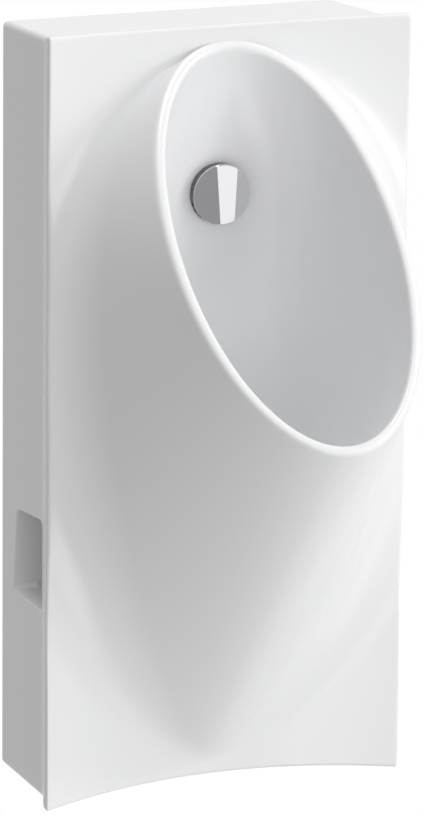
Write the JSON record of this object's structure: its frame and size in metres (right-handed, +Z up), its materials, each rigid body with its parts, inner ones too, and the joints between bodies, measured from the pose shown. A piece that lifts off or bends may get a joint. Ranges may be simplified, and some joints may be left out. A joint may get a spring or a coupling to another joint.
{
  "type": "wall-hung urinal",
  "caption": "Wall-hung urinal of glazed white china with a tilted oval bowl rim, chrome spray head, cast-in trap, lift-out strainer, outlet flange and wall hangers.",
  "frame": {"origin": "on the wall face, midway between the two fixing bolt holes", "axes": "+X to the viewer's right, +Y into the wall, +Z up; the bowl comes out towards -Y"},
  "size_m": [0.333, 0.3732, 0.6698],
  "materials": {
    "glazed_china": "glossy white glaze",
    "chrome": "polished chrome plate",
    "stainless_steel": "satin stainless steel",
    "galvanised_steel": "zinc-plated pressed steel",
    "brass": "machined brass",
    "black_rubber": "matt black rubber",
    "moulded_plastic": "white moulded plastic"
  },
  "bodies": {
    "urinal": {"china_body": "glazed_china", "china_bowl": "glazed_china", "china_trap": "glazed_china", "china_pocket_left": "glazed_china", "china_pocket_right": "glazed_china", "spray_cap": "chrome", "cap_screw": "stainless_steel", "spray_barrel": "chrome", "flow_regulator": "moulded_plastic", "front_gasket": "black_rubber", "inlet_shank": "brass", "back_washer": "black_rubber", "friction_ring": "stainless_steel", "shank_nut": "brass", "coupling_nut": "brass", "coupling_washer": "black_rubber", "inlet_tube": "brass", "strainer_gasket": "black_rubber", "outlet_gasket": "black_rubber", "outlet_flange": "moulded_plastic", "hanger_left": "galvanised_steel", "hanger_right": "galvanised_steel", "fixing_bushes": "moulded_plastic"},
    "strainer_body": {"strainer": "stainless_steel"}
  },
  "joints": [
    {"name": "strainer_lift", "type": "slide", "parent": "urinal", "child": "strainer_body", "axis": [0, 0, 1], "range_m": [0, 0.06]}
  ]
}
